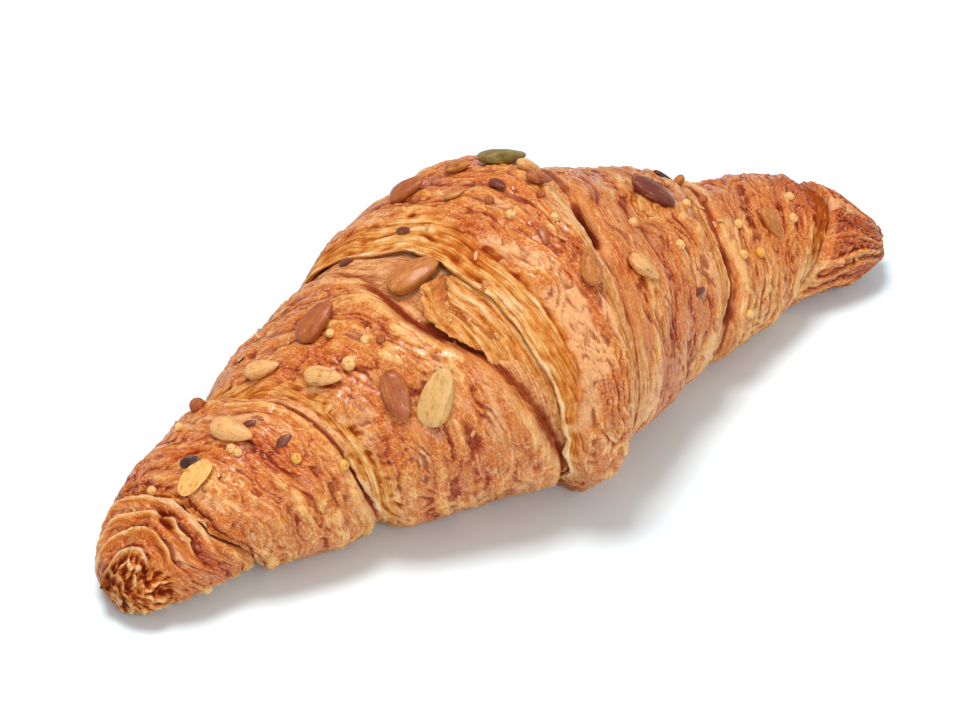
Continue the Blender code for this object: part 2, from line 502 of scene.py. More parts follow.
COIL_SPAN = (3.85, 12.08)
COIL_ROWS = 520
COIL_COLUMNS = (80, 40)
FLOOR_COLUMNS = 26
FLOOR_REACH = 4.0  # how far a groove's floor runs on under what covers it
FLOOR_SAG = 1.2
UNDER_TONGUE = 7.8  # the coil lies under the tongue up to this quarter, then under itself
COIL_PUFF = 1.3
NEAR_COIL_STRANDS = (
    (3.7, 3.5), (5.0, 4.6), (6.0, 4.2), (7.0, 4.0), (8.0, 3.0), (8.6, 0.6), (12.2, 0.5),
)
FAR_COIL_STRANDS = ((3.7, 3.5), (5.0, 4.8), (6.0, 4.4), (8.0, 4.2), (9.4, 5.0), (12.2, 2.5))

# For each coil: what covers it, its rim and cut side, the depth of its groove, and the width
# of its shoulder and of its strands
NEAR_LINES = (
    TONGUE_NEAR_EDGE, NEAR_RIM, NEAR_EDGE, NEAR_GROOVE, NEAR_SHOULDER, NEAR_COIL_STRANDS,
)
FAR_LINES = (TONGUE_FAR_EDGE, FAR_RIM, FAR_EDGE, FAR_GROOVE, FAR_SHOULDER, FAR_COIL_STRANDS)


def make_coil(name, outward, lines, seed):
    """The dough that runs on from under the tongue, out to one end of the roll."""
    quarter = np.linspace(*COIL_SPAN, COIL_ROWS)[:, None]
    cover_line, rim_line, edge_line, groove, shoulder_width, strand_width = lines
    edge = along_edge(edge_line, quarter)
    edge = edge + outward * frayed(quarter, seed + 30)
    inner = along_edge(edge_line, quarter - 4) + outward * 0.2
    covered = quarter < UNDER_TONGUE
    rim = np.where(covered, along_edge(rim_line, quarter - 4), inner)
    cover = np.where(covered, along_edge(cover_line, quarter - 4), inner)
    start = cover - outward * FLOOR_REACH
    depth = along_edge(groove, quarter)
    shoulder = along_edge(shoulder_width, quarter)
    radius = along_edge(COIL_LIP, quarter)
    share = np.linspace(0, 1, FLOOR_COLUMNS)[None, :-1]
    sag = FLOOR_SAG * (1 - share) ** 2
    hidden = smooth(0.75, 0.1, share)
    floor = Section(start + (rim - start) * share, -depth - sag, sunk=1.0, hidden=hidden)
    width = along_edge(strand_width, quarter)
    nose = edge - outward * radius
    x = zoned([rim, nose - outward * width, nose], COIL_COLUMNS)
    share = (x - rim) / (nose - rim)
    from_rim, from_edge = outward * (x - rim), outward * (edge - x)
    rise = smooth(0, 1, from_rim / shoulder) ** 0.7
    height = -depth + (depth + COIL_PUFF * np.sin(np.pi * share) ** 0.7) * rise
    height = height - STRAND_DROP * (1 - smooth(0, width + STRAND_SLOPE, from_edge))
    strands = exposure(from_edge, width, quarter, x, seed + 20)
    wall = 1 - smooth(0.5, 1.1, from_rim / shoulder)
    body = Section(x, height, exposed=np.maximum(strands, 0.35 * wall), sunk=0.3 * wall)
    end = lip(edge, height[:, -1:], radius, outward)
    section = Section.joined([floor, body, end])
    return crust_piece(name, quarter, section, seed, flipped=outward > 0)


TIP_SPAN = (-0.1, 4.08)
TIP_ROWS = 330
TIP_COLUMNS = (13, 150)  # under the last cut side, and from there to the pole
POLE_FADE = 2.5
POLE_MERGE = 0.002  # points this close together are joined at the pole
COVER_REACH = 3.5  # how far an end runs on under the last cut side, and how deep
COVER_DEPTH = 4.0
CREASE_DEPTH = 0.8
CREASE_REACH = 1.5


def make_tip(name, outward, edge_line, seed, folds):
    """An end of the roll, from under the last cut side to the pole."""
    quarter = np.linspace(*TIP_SPAN, TIP_ROWS)[:, None]
    start = along_edge(edge_line, np.maximum(quarter, 0) + 8) + outward * 0.5
    share = np.linspace(0, 1, TIP_COLUMNS[0])[None, :-1]
    under = start - outward * COVER_REACH * (1 - share)
    cover = Section(under, share - COVER_DEPTH, sunk=1.0, hidden=smooth(0.8, 0.1, share))
    share = np.linspace(0, 1, TIP_COLUMNS[1])[None, :] ** 0.8
    x = start + (outward * END - start) * share
    from_start, to_pole = outward * (x - start), END - outward * x
    fold_height, exposed = folds(x, quarter, from_start)
    height = fold_height - CREASE_DEPTH * np.exp(-from_start / CREASE_REACH)
    height = height * smooth(0.0, POLE_FADE, to_pole)
    body = Section(x, height, exposed=exposed)
    section = Section.joined([cover, body])
    tip = crust_piece(name, quarter, section, seed, flipped=outward > 0, pleated=outward > 0)
    close_pole(tip)
    return tip


def close_pole(tip):
    """Joins the points that meet at the very end of the roll."""
    shape = bmesh.new()
    shape.from_mesh(tip.data)
    bmesh.ops.remove_doubles(shape, verts=shape.verts, dist=POLE_MERGE * MM)
    shape.to_mesh(tip.data)
    shape.free()


ROSETTE = (-96.0, -9.5, 8.0)  # middle of the rough patch on the blunt end
ROSETTE_REACH = 8.5
TUCK = (-85.6, 1.76)  # place along X and quarter of the dark tuck between its layers


def near_folds(x, quarter, _):
    """Layers of the blunt end stacked like thick shingles, and a rough rosette at its front."""
    points = on_roll(x, quarter, 0.0)
    px, py, pz = np.moveaxis(points, -1, 0)
    away = np.linalg.norm(points - ROSETTE, axis=-1) + fractal(py / 8, pz / 8, 75, 2)
    rosette = smooth(ROSETTE_REACH, ROSETTE_REACH - 1.4, away)
    wobble = 0.4 * fractal(py / 11, pz / 9, 71, 2)
    stack = shingles((away - ROSETTE_REACH) / 3.6 + wobble, 0.2)
    outer = 2.2 * (stack - 0.5)
    crests = 1 - 2 * np.abs(fractal((py - 0.25 * px) / 3.4, pz / 5.5, 72, 4))
    crumbs = fractal(py / 1.5, pz / 1.9, 73, 3)
    rough = 1.1 * crests + 0.45 * crumbs - 0.9
    lobe = smooth(-1.0, 2.5, -py - 12.0) * smooth(-96, -92, px)
    height = outer * (1 - rosette) * (1 - 0.85 * lobe) + rough * rosette + 0.5 * lobe
    tuck = np.exp(-(((x - TUCK[0]) / 1.2) ** 2) - ((quarter - TUCK[1]) / 0.16) ** 2)
    layered = 0.7 * (1 - lobe) * smooth(0.15, 0.6, stack) * (1 - rosette)
    return height - 2.4 * tuck, np.clip(0.8 * rosette + layered, 0, 1)


def far_folds(x, quarter, from_start):
    """Pleats that run together towards the pinched end."""
    theta = (quarter - 1) * 90
    swirl = theta / 24 + 0.9 * noise(theta / 50, x / 12, 81) + (x - 85) / 30
    part = shingles(swirl, 0.25)
    fine = 0.35 * ridges(theta / 7 + 1.5 * fractal(theta / 30, x / 8, 82, 2), 0.8)
    strength = smooth(0, 3, from_start)
    return (1.5 * (part - 0.5) + fine) * strength, 0.3 * smooth(0.3, 0.8, part) * strength


FLAKE_EDGE = (
    (0.9, -10.0), (1.04, -12.4), (1.17, -15.0), (1.27, -17.6), (1.39, -19.6), (1.51, -21.8),
    (1.6, -24.0), (1.73, -26.8), (1.86, -25.5),
)
FLAKE_SPAN = (0.95, 1.88)
FLAKE_ROWS, FLAKE_COLUMNS = 220, 90
FLAKE_COVERED = 2.0  # how far the sheet reaches in under the tongue
FLAKE_DEPTH = 1.5
FLAKE_CURL = 1.9
FLAKE_LIFT = 2.0
FLAKE_RADIUS = 0.2
FLAKE_UNDERSIDE = 5.0


def make_flake():
    """A torn sheet in the deep groove at the front, pale and ragged at its free edge."""
    quarter = np.linspace(*FLAKE_SPAN, FLAKE_ROWS)[:, None]
    start = along_edge(TONGUE_NEAR_EDGE, quarter) + FLAKE_COVERED
    ragged_edge = 0.8 * fractal(quarter * 13, 0.7, 91, 4) * smooth(0.95, 1.2, quarter)
    edge = along_edge(FLAKE_EDGE, quarter) + ragged_edge
    share = np.linspace(0, 1, FLAKE_COLUMNS)[None, :]
    x = start + (edge + FLAKE_RADIUS - start) * share
    curled = smooth(0.4, 1.0, share) * smooth(1.3, 1.7, quarter)
    folds = 0.8 * fractal(quarter * 3.4, x / 5.5, 92, 2)
    end_lift = FLAKE_LIFT * smooth(1.70, 1.88, quarter)
    height = -FLAKE_DEPTH + (folds + end_lift - 1.0) * share + FLAKE_CURL * curled
    body = Section(x, height, exposed=0.9)
    end = lip(edge, height[:, -1:], FLAKE_RADIUS, -1, FLAKE_UNDERSIDE, exposed=0.8)
    return crust_piece("torn_flake", quarter, Section.joined([body, end]), 6, bare=1.0)


def make_crust():
    """Every piece of the crust, which together stand for the CAD model's solid."""
    return [
        make_tongue(),
        make_coil("crust_near_coil", -1, NEAR_LINES, 2),
        make_coil("crust_far_coil", 1, FAR_LINES, 3),
        make_tip("crust_near_tip", -1, NEAR_EDGE, 4, near_folds),
        make_tip("crust_far_tip", 1, FAR_EDGE, 5, far_folds),
        make_flake(),
    ]


# Materials


class Wire:
    """A number that changes over a surface, with the arithmetic of its nodes."""

    def __init__(self, finish, socket):
        self.finish, self.socket = finish, socket

    def math(self, operation, *others):
        """The outcome of a Math node for this number and others."""
        node = self.finish.node(
            "ShaderNodeMath", {"operation": operation}, dict(enumerate((self, *others)))
        )
        return Wire(self.finish, node.outputs[0])

    def __add__(self, other):
        return self.math("ADD", other)

    def __sub__(self, other):
        return self.math("SUBTRACT", other)

    def __mul__(self, other):
        return self.math("MULTIPLY", other)

    def __rsub__(self, other):
        return (self * -1.0) + other

    __radd__, __rmul__ = __add__, __mul__

    def distance(self, value):
        """How far the number is from a value."""
        return (self - value).math("ABSOLUTE")

    def fraction(self):
        """What the number has beyond its last whole number."""
        return self.math("FRACT")

    def over(self, low, high):
        """0 below low, 1 above high, and a smooth step between."""
        node = self.finish.node(
            "ShaderNodeMapRange",
            {"interpolation_type": "SMOOTHSTEP"},
            {"Value": self, "From Min": low, "From Max": high},
        )
        return Wire(self.finish, node.outputs[0])


class Finish:
    """One material and the nodes that it is built from."""

    def __init__(self, name):
        self.material = bpy.data.materials.new(name)
        self.material.use_nodes = True
        self.tree = self.material.node_tree
        self.shader = self.tree.nodes["Principled BSDF"]

    def node(self, kind, settings=None, values=None):
        """A node with these settings, which are set first, and these socket values or links."""
        node = self.tree.nodes.new(kind)
        for key, value in (settings or {}).items():
            setattr(node, key, value)
        for key, value in (values or {}).items():
            self.feed(node.inputs[key], value)
        return node

    def feed(self, socket, value):
        """Links a wire to a socket, or sets a plain value on it."""
        source = value.socket if isinstance(value, Wire) else value
        if isinstance(source, bpy.types.NodeSocket):
            self.tree.links.new(source, socket)
        else:
            socket.default_value = source

    def attribute(self, name, output="Fac"):
        """What the mesh keeps under this name."""
        node = self.node("ShaderNodeAttribute", {"attribute_name": name})
        return Wire(self, node.outputs[output])

    def stretched(self, vector, scale):
        """A vector with each of its parts multiplied."""
        node = self.node("ShaderNodeVectorMath", {"operation": "MULTIPLY"}, {0: vector, 1: scale})
        return Wire(self, node.outputs[0])

    def noise(self, vector, scale, detail=3.0, roughness=0.6, distortion=0.0):
        """Noise from 0 to 1, with features this many millimetres long, wide and deep."""
        stretched = self.stretched(vector, tuple(1 / size for size in scale))
        values = {"Vector": stretched, "Scale": 1.0, "Detail": detail}
        values.update({"Roughness": roughness, "Distortion": distortion})
        return Wire(self, self.node("ShaderNodeTexNoise", None, values).outputs[0])

    def mixed(self, factor, low, high, blend="MIX"):
        """A colour between two colours or wires of colour."""
        node = self.node(
            "ShaderNodeMix",
            {"data_type": "RGBA", "blend_type": blend},
            {0: factor, 6: low, 7: high},
        )
        return Wire(self, node.outputs[2])

    def bump(self, height, distance, normal=None):
        """A bump from a height in units of the distance, given in millimetres."""
        values = {"Height": height, "Distance": distance * MM, "Strength": 1.0}
        if normal is not None:
            values["Normal"] = normal
        return Wire(self, self.node("ShaderNodeBump", None, values).outputs[0])

    def surface(self, **values):
        """Feeds the shader's sockets and returns the finished material."""
        for key, value in values.items():
            self.feed(self.shader.inputs[key.replace("_", " ")], value)
        return self.material


def rgb(red, green, blue):
    """A colour from the numbers of a picture, from 0 to 255, as a shader takes it."""
    linear = [
        part / 12.92 if part <= 0.04045 else ((part + 0.055) / 1.055) ** 2.4
        for part in (red / 255, green / 255, blue / 255)
    ]
    return (*linear, 1.0)


CREASE_SHADE = rgb(164, 84, 32)  # what a crease leaves of the light
RED_BROWN = rgb(148, 48, 2)
ORANGE_BROWN = rgb(190, 82, 14)
GOLD = rgb(212, 122, 44)
STRAW = rgb(238, 176, 98)
PALE = rgb(254, 214, 166)
TAN = rgb(238, 180, 124)
STRAW_DARK = rgb(172, 72, 14)
SHADED_SHEET_BROWN = rgb(184, 98, 36)


def skin_colour(finish, grain, marks):
    """Glaze over browned dough, with pale streaks and red specks, painted shade in its hollows
    and painted highlights on its ridges and raised lines.
    """
    patches = finish.noise(grain, (14.0, 8.0, 6.0), 3.0)
    mottle = finish.noise(grain, (2.8, 1.7, 2.0), 6.0, 0.75)
    tone = patches * 0.65 + mottle * 0.85 + marks.silk * 0.3 + marks.streaks * 0.15
    # Painted shade and light: darker in the hollows and lighter on the ridges; the toast term is
    # the real browning.
    tone = tone - marks.toast * 0.5 - marks.hollow * 0.25
    colour = finish.mixed(tone.over(0.38, 0.64), RED_BROWN, ORANGE_BROWN)
    colour = finish.mixed(tone.over(0.60, 0.90), colour, GOLD)
    colour = finish.mixed(tone.over(0.90, 1.12), colour, STRAW)
    colour = finish.mixed(marks.peeled * (0.4 + mottle * 0.6), colour, TAN)
    specks = marks.speckle.over(0.58, 0.66) * patches.over(0.62, 0.48) * (1 - marks.peeled)
    colour = finish.mixed(specks * 0.3, colour, RED_BROWN)
    glint_and_pit_specks = finish.noise(grain, (0.5, 0.4, 0.6), 2.0, 0.6)
    # Painted glints: tiny pale specks over the glaze; the same noise at its low end gives dark
    # pits.
    colour = finish.mixed(glint_and_pit_specks.over(0.53, 0.66) * 0.32, colour, PALE)
    # Painted highlights along the raised silk lines that the bump also draws.
    colour = finish.mixed(marks.silk.over(0.54, 0.64) * 0.18, colour, PALE)
    pits = glint_and_pit_specks.over(0.44, 0.32) * (0.35 - marks.peeled * 0.25)
    colour = finish.mixed(pits, colour, RED_BROWN)
    return finish.mixed(marks.cracks * (0.1 - marks.peeled * 0.1), colour, RED_BROWN)


def strand_colour(finish, marks, mottle):
    """The pale layers of a cut side, with darker lines between them, painted shade in their
    hollows and painted light on their crests.
    """
    tone = marks.streaks * 0.35 + marks.fibres * 0.5 + mottle * 0.3 + 0.08
    # Painted shade and light: darker in the hollows between the layers and lighter on their
    # crests; the toast term is the real browning.
    tone = tone - marks.hollow * 0.35 - marks.toast * 0.4
    colour = finish.mixed(tone.over(0.26, 0.50), STRAW_DARK, GOLD)
    colour = finish.mixed(tone.over(0.42, 0.64), colour, STRAW)
    colour = finish.mixed(tone.over(0.58, 0.76), colour, PALE)
    return finish.mixed(marks.cracks * 0.3, colour, ORANGE_BROWN)


class Marks:
    """What the crust's mesh and its grain say about each place."""

    def __init__(self, finish, grain):
        for name in ("exposed", "sunk", "hollow", "hollow_wide", "peeled", "toast"):
            setattr(self, name, finish.attribute(name))
        self.streaks = finish.noise(grain, (16.0, 0.9, 2.0), 4.0, 0.65)
        self.fibres = finish.noise(grain, (14.0, 0.30, 1.0), 3.0, 0.6)
        self.silk = finish.noise(grain, (9.0, 0.45, 1.0), 3.0, 0.6)
        self.speckle = finish.noise(grain, (0.9, 0.8, 1.0), 2.0, 0.6)
        line = finish.noise(grain, (7.0, 2.6, 2.0), 5.0, 0.65)
        self.cracks = 1 - line.distance(0.5).over(0.0, 0.035)


def crust_finish():
    """Baked laminated dough: glazed skin, stranded cut sides and creases darkened by painted
    shade.
    """
    finish = Finish("baked_crust")
    grain = finish.attribute("grain", "Vector")
    marks = Marks(finish, grain)
    mottle = finish.noise(grain, (1.6, 1.1, 1.5), 4.0, 0.75)
    chips = (finish.noise(grain, (4.0, 2.6, 3.0), 4.0, 0.6) * 7.0).fraction()
    grit = finish.noise(grain, (0.8, 0.7, 0.8), 3.0, 0.7)
    # Covered sheets in the grooves and under the lips: brown that is partly their own colour and
    # partly painted shade, with paler patches.
    sheet = finish.mixed((mottle + marks.fibres).over(0.75, 1.25), SHADED_SHEET_BROWN, TAN)
    skin, strands = skin_colour(finish, grain, marks), strand_colour(finish, marks, mottle)
    colour = finish.mixed(marks.exposed, skin, strands)
    colour = finish.mixed(marks.sunk * (1 - marks.exposed), colour, sheet)
    # Painted shade: darkens the creases by multiplying the colour down in the narrow and wide
    # hollows of the mesh.
    painted_crease_shade = marks.hollow.over(0.05, 0.7) * 0.75 + marks.hollow_wide.over(0.4, 1.1) * 0.25
    colour = finish.mixed(painted_crease_shade, colour, CREASE_SHADE, "MULTIPLY")
    relief = mottle * 0.40 + grit * 0.38 + chips * 0.10 + marks.silk * 0.28 - marks.cracks * 0.06
    relief = relief + marks.exposed * (marks.streaks * 0.4 + marks.fibres * 0.6)
    glazed = (1 - marks.exposed) * (1 - marks.sunk) * (1 - marks.peeled * 0.7) * (1 - painted_crease_shade)
    return finish.surface(
        Base_Color=colour,
        Roughness=0.42 + marks.exposed * 0.2 + marks.sunk * 0.2 + mottle * 0.2,
        Normal=finish.bump(relief, 0.75),
        Specular_IOR_Level=0.12,
        Coat_Weight=glazed * (1 - marks.toast * 0.4) * (0.25 + mottle.over(0.40, 0.62) * 0.75),
        Coat_Roughness=0.2,
        Coat_IOR=1.5,
        Subsurface_Weight=0.10,
        Subsurface_Radius=(1.0, 0.45, 0.2),
        Subsurface_Scale=0.001,
    )


# The camera, which also says where each seed of the picture lies

PICTURE = (960, 720)  # pixels
FOCAL_PIXELS = 3490.0
SENSOR = 36.0  # millimetres
CAMERA_DISTANCE = 0.70  # metres
CAMERA_TURN = math.radians(34)
CAMERA_ELEVATION = math.radians(38)
TARGET = Vector((-0.0146, -0.0094, 0.030))


def camera_axes():
    """Unit vectors to the right, up and back of the camera."""
    forward = Vector((math.sin(CAMERA_TURN), math.cos(CAMERA_TURN), 0.0))
    right = Vector((math.cos(CAMERA_TURN), -math.sin(CAMERA_TURN), 0.0))
    level = Vector((0.0, 0.0, 1.0))
    back = level * math.sin(CAMERA_ELEVATION) - forward * math.cos(CAMERA_ELEVATION)
    return right, back.cross(right), back


# Seeds

OLIVE = rgb(126, 106, 42)
PALE_GREEN = rgb(212, 164, 96)
AMBER = rgb(186, 112, 44)
TOASTED = rgb(166, 84, 30)
RED_DARK = rgb(112, 42, 18)
BEIGE = rgb(224, 166, 100)
DARK = rgb(64, 24, 16)
CREAM = rgb(234, 182, 112)
RUST = rgb(170, 86, 38)
YELLOW = rgb(228, 168, 74)

# Place in the picture in pixels, tilt in degrees from the picture's right, length in
# millimetres, and colour
PUMPKIN_SEEDS = (
    (502, 162, 12, 10.6, OLIVE), (415, 278, 30, 11.4, AMBER), (438, 397, 72, 12.0, PALE_GREEN),
    (318, 324, 52, 10.2, TOASTED), (651, 196, -30, 10.2, RED_DARK),
    (769, 225, -58, 7.6, AMBER), (397, 397, -70, 10.0, TOASTED), (409, 192, 30, 8.4, TOASTED),
)
SUNFLOWER_SEEDS = (
    (325, 378, -5, 8.2, BEIGE), (264, 371, 15, 7.6, BEIGE), (234, 432, -15, 9.4, BEIGE),
    (641, 269, -35, 8.2, BEIGE), (528, 170, 0, 6.8, BEIGE), (546, 166, -8, 6.2, RUST),
    (460, 169, 10, 6.4, AMBER), (588, 268, 98, 9.0, AMBER),
)
FLAX_SEEDS = (
    (191, 462, 15, 4.6, DARK), (544, 236, -75, 4.4, TOASTED), (498, 185, -25, 4.6, RED_DARK),
    (455, 195, 20, 4.6, AMBER), (404, 231, 0, 3.4, RED_DARK), (347, 263, 20, 3.6, RED_DARK),
    (284, 441, 40, 3.8, RED_DARK), (662, 177, -30, 4.4, DARK), (699, 292, 40, 3.6, RED_DARK),
    (448, 372, 10, 1.8, RED_DARK), (250, 424, 20, 3.0, RED_DARK),
)
MILLET_SEEDS = (
    (296, 459, 0, 2.2, YELLOW), (343, 465, 0, 2.2, YELLOW), (366, 341, 0, 2.0, CREAM),
    (381, 340, 0, 2.0, RUST), (232, 449, 0, 2.0, CREAM), (238, 453, 0, 1.8, CREAM),
    (153, 491, 0, 2.0, CREAM), (207, 587, 0, 2.1, CREAM), (199, 407, 0, 3.2, TOASTED),
    (181, 428, 0, 2.0, CREAM), (331, 334, 0, 1.9, CREAM), (490, 201, 0, 2.1, RUST),
    (511, 216, 0, 2.2, CREAM), (541, 195, 0, 1.9, RUST), (554, 219, 0, 2.1, CREAM),
    (417, 201, 0, 1.9, RUST), (679, 246, 0, 2.3, CREAM), (632, 224, 0, 2.1, CREAM),
    (685, 205, 0, 2.1, CREAM), (704, 201, 0, 2.1, RUST), (636, 179, 0, 2.0, RUST),
    (737, 225, 0, 2.1, CREAM), (742, 255, 0, 2.1, CREAM), (759, 253, 0, 2.3, YELLOW),
    (789, 198, 0, 2.2, CREAM), (792, 219, 0, 2.2, CREAM), (748, 313, 0, 2.1, CREAM),
    (350, 364, 0, 3.0, CREAM),
)
OAT_FLAKES = ((196, 479, 48, 8.6, STRAW),)


class SeedKind:
    """How one kind of seed is shaped, coloured and strewn."""

    def __init__(self, name, placed, strewn, proportions, shape, sink):
        self.name, self.placed, self.strewn = name, placed, strewn
        self.proportions, self.shape, self.sink = proportions, shape, sink


def closed_faces(rings, around):
    """Faces of a closed form: a first point, rings of points, and a last point."""
    ring = np.arange(rings * around).reshape(rings, around) + 1
    after = np.roll(ring, -1, axis=1)
    quads = np.stack([ring[:-1], after[:-1], after[1:], ring[1:]], axis=-1).reshape(-1, 4)
    last = rings * around + 1
    first_cap = [(0, b, a) for a, b in zip(ring[0], after[0])]
    last_cap = [(last, a, b) for a, b in zip(ring[-1], after[-1])]
    return [tuple(quad) for quad in quads] + first_cap + last_cap


def shifted(faces, start):
    """The same faces for a copy whose first point has this number."""
    return [tuple(int(corner) + start for corner in face) for face in faces]


def closed_form(rings, around):
    """Polar and round angles of a closed form's points, poles included."""
    polar = np.repeat(np.linspace(0, np.pi, rings + 2)[1:-1], around)
    turn = np.tile(np.arange(around) * (2 * np.pi / around), rings)
    return np.concatenate([[0.0], polar, [np.pi]]), np.concatenate([[0.0], turn, [0.0]])


def pumpkin_shape(polar, turn, seed):
    """A flat teardrop with a thin raised rim."""
    radius = np.sin(polar) ** 0.8 * (1 + 0.22 * np.cos(polar))
    across, up = np.cos(turn), np.sin(turn)
    rim = 0.16 * np.exp(-(((np.abs(across) * np.sin(polar) ** 0.3 - 0.86) / 0.09) ** 2))
    thick = np.abs(up) ** 0.75 * np.sign(up) + rim * np.sign(up)
    dents = 1 + 0.08 * noise(2.2 * np.cos(polar) + seed, 1.5 * across, 7)
    return -np.cos(polar), radius * across, radius * thick * dents


def sunflower_shape(polar, turn, seed):
    """A plump teardrop, pointed at one end, with faint ridges along it."""
    radius = np.sin(polar) ** 0.9 * (1 + 0.38 * np.cos(polar))
    ribs = 1 + 0.035 * np.cos(9 * turn) + 0.05 * noise(2 * np.cos(polar) + seed, np.cos(turn), 8)
    return -np.cos(polar), radius * ribs * np.cos(turn), radius * ribs * np.sin(turn)


def flax_shape(polar, turn, seed):
    """A flat pointed oval."""
    radius = np.sin(polar) ** 0.95 * (1 + 0.25 * np.cos(polar))
    bent = 0.05 * noise(1.3 * np.cos(polar) + seed, 0.5, 9)
    return -np.cos(polar), radius * np.cos(turn), radius * np.sin(turn) + bent


def millet_shape(polar, turn, seed):
    """A ball with a dimple on one side and a few dents."""
    x, y, z = -np.cos(polar), np.sin(polar) * np.cos(turn), np.sin(polar) * np.sin(turn)
    dimple = 1 - 0.25 * np.exp(-((x - 0.5) ** 2 + (z - 0.8) ** 2) / 0.12)
    size = dimple * (1 + 0.05 * noise(2.1 * x + seed, 2.1 * y + z, 10))
    return x * size, y * size, z * size


def oat_shape(polar, turn, seed):
    """A rolled grain: a thin curved flake with a furrow along it and an uneven edge."""
    radius = np.sin(polar) ** 0.75
    across = radius * np.cos(turn) * (1 + 0.1 * noise(3.0 * np.cos(polar) + seed, 0.3, 11))
    furrow = 0.55 * np.exp(-((across / 0.09) ** 2)) * np.sin(polar)
    cup = 0.9 * across**2 - 0.4 * np.cos(polar) ** 2
    dents = 0.35 * noise(2.5 * np.cos(polar) + seed, 2.5 * across, 12)
    return -np.cos(polar), across, radius * np.sin(turn) * 0.5 + cup + dents - furrow


SEED_KINDS = (
    SeedKind("pumpkin_seed", PUMPKIN_SEEDS, 9, (1.0, 0.54, 0.27), pumpkin_shape, 0.08),
    SeedKind("sunflower_seed", SUNFLOWER_SEEDS, 8, (1.0, 0.48, 0.34), sunflower_shape, 0.14),
    SeedKind("flax_seed", FLAX_SEEDS, 10, (1.0, 0.5, 0.24), flax_shape, 0.15),
    SeedKind("millet_seed", MILLET_SEEDS, 26, (1.0, 1.0, 0.94), millet_shape, 0.3),
    SeedKind("oat_flake", OAT_FLAKES, 3, (1.0, 0.52, 0.12), oat_shape, -0.2),
)
SEED_RINGS, SEED_AROUND = 22, 32
SPACING = 0.38  # how far a seed keeps others off, over its length
STREWN_TRIES = 600
SHARD_COUNT = 170
SHARD_SEED = 77
SHARD_GRID = (9, 14)
SHARD_LENGTH = (0.9, 2.6)
SHARD_SLENDER = (0.3, 0.55)  # width over length
SHARD_THICKNESS = 0.5
SHARD_TURN = 0.5  # usual angle, in radians, away from the way round the roll
SHARD_PEELED, SHARD_TOASTED = (0.1, 1.0), (0.0, 0.6)
SEED_VARIETY, SHARD_VARIETY = 3.7, 2.9  # how far the dents of one copy differ from the next
SIZE_SPREAD = (0.92, 1.05)  # length of a strewn seed over that of the one it is like
FOOTPRINT = 0.3  # share of a seed's length over which the crust's normal is found
LEAST_SLOPE = 0.45  # keeps the tilt of a seed steady where the crust turns away

# Places along X and angles round the roll, in degrees from the front over the top
STREWN_X, STREWN_ANGLE = (-84, 82), (100, 185)
SHARD_X, SHARD_ANGLE = (-90, 88), (-15, 195)
STREWN_SMOOTHING = 0.002  # metres round a strewn seed over which its normal is found
CLEARANCE = 0.007  # metres above the crust from which the camera must be hidden
FIRST_DRAW = 400  # seed of the random draws for the first kind of seed
GRAIN_GAP = 20.0  # keeps the pattern of one copy apart from that of the next

OUTSIDE = 0.08  # metres from the roll's middle line, beyond every piece
PROBES = 8  # places round a seed at which the crust is felt for
PROBE_HEIGHT = 0.012
PROBE_REACH = 0.02


def facing(normal, side):
    """The normal, turned round if it points away from this side."""
    return normal if normal.dot(side) > 0 else -normal


class Surface:
    """The whole crust, to find where a seed lies on it."""

    def __init__(self, pieces):
        points, faces = [], []
        for piece in pieces:
            start = len(points)
            points.extend(vertex.co.copy() for vertex in piece.data.vertices)
            faces.extend([start + k for k in face.vertices] for face in piece.data.polygons)
        self.tree = BVHTree.FromPolygons(points, faces)

    def under_pixel(self, column, row):
        """The place and normal that the camera sees at a pixel, or the nearest to it."""
        right, up, back = camera_axes()
        across, rise = (column - PICTURE[0] / 2), (PICTURE[1] / 2 - row)
        direction = (right * across + up * rise - back * FOCAL_PIXELS).normalized()
        eye = TARGET + back * CAMERA_DISTANCE
        place, normal, _, _ = self.tree.ray_cast(eye, direction)
        if place is None:
            beside = eye + direction * CAMERA_DISTANCE
            place, normal, _, _ = self.tree.find_nearest(beside)
        return place, facing(normal, back)

    def from_outside(self, x, angle):
        """The place and normal on the crust at x, seen from this angle round the roll."""
        _, bend, middle = envelope(x)
        outward = Vector((0.0, -math.cos(angle), math.sin(angle)))
        axis = Vector((x, float(bend), float(middle))) * MM
        place, normal, _, _ = self.tree.ray_cast(axis + outward * OUTSIDE, -outward)
        return place, facing(normal, outward)

    def smooth_normal(self, place, normal, reach):
        """The normal over a patch about as wide as a seed."""
        total = normal.copy()
        tangent = normal.orthogonal().normalized()
        for step in range(PROBES):
            turned = Quaternion(normal, step * 2 * math.pi / PROBES) @ tangent
            start = place + turned * reach + normal * PROBE_HEIGHT
            found, other, _, _ = self.tree.ray_cast(start, -normal, PROBE_REACH)
            if found is not None:
                total += facing(other, normal)
        return total.normalized()


def lie_of_seed(surface, column, row, tilt, length):
    """Place, direction along the seed and normal for a seed at a pixel."""
    right, up, back = camera_axes()
    place, normal = surface.under_pixel(column, row)
    normal = surface.smooth_normal(place, normal, FOOTPRINT * length * MM)
    wanted = right * math.cos(math.radians(tilt)) + up * math.sin(math.radians(tilt))
    slope = max(normal.dot(back), LEAST_SLOPE)
    along = wanted - back * (wanted.dot(normal) / slope)
    along = (along - normal * along.dot(normal)).normalized()
    return place, along, normal


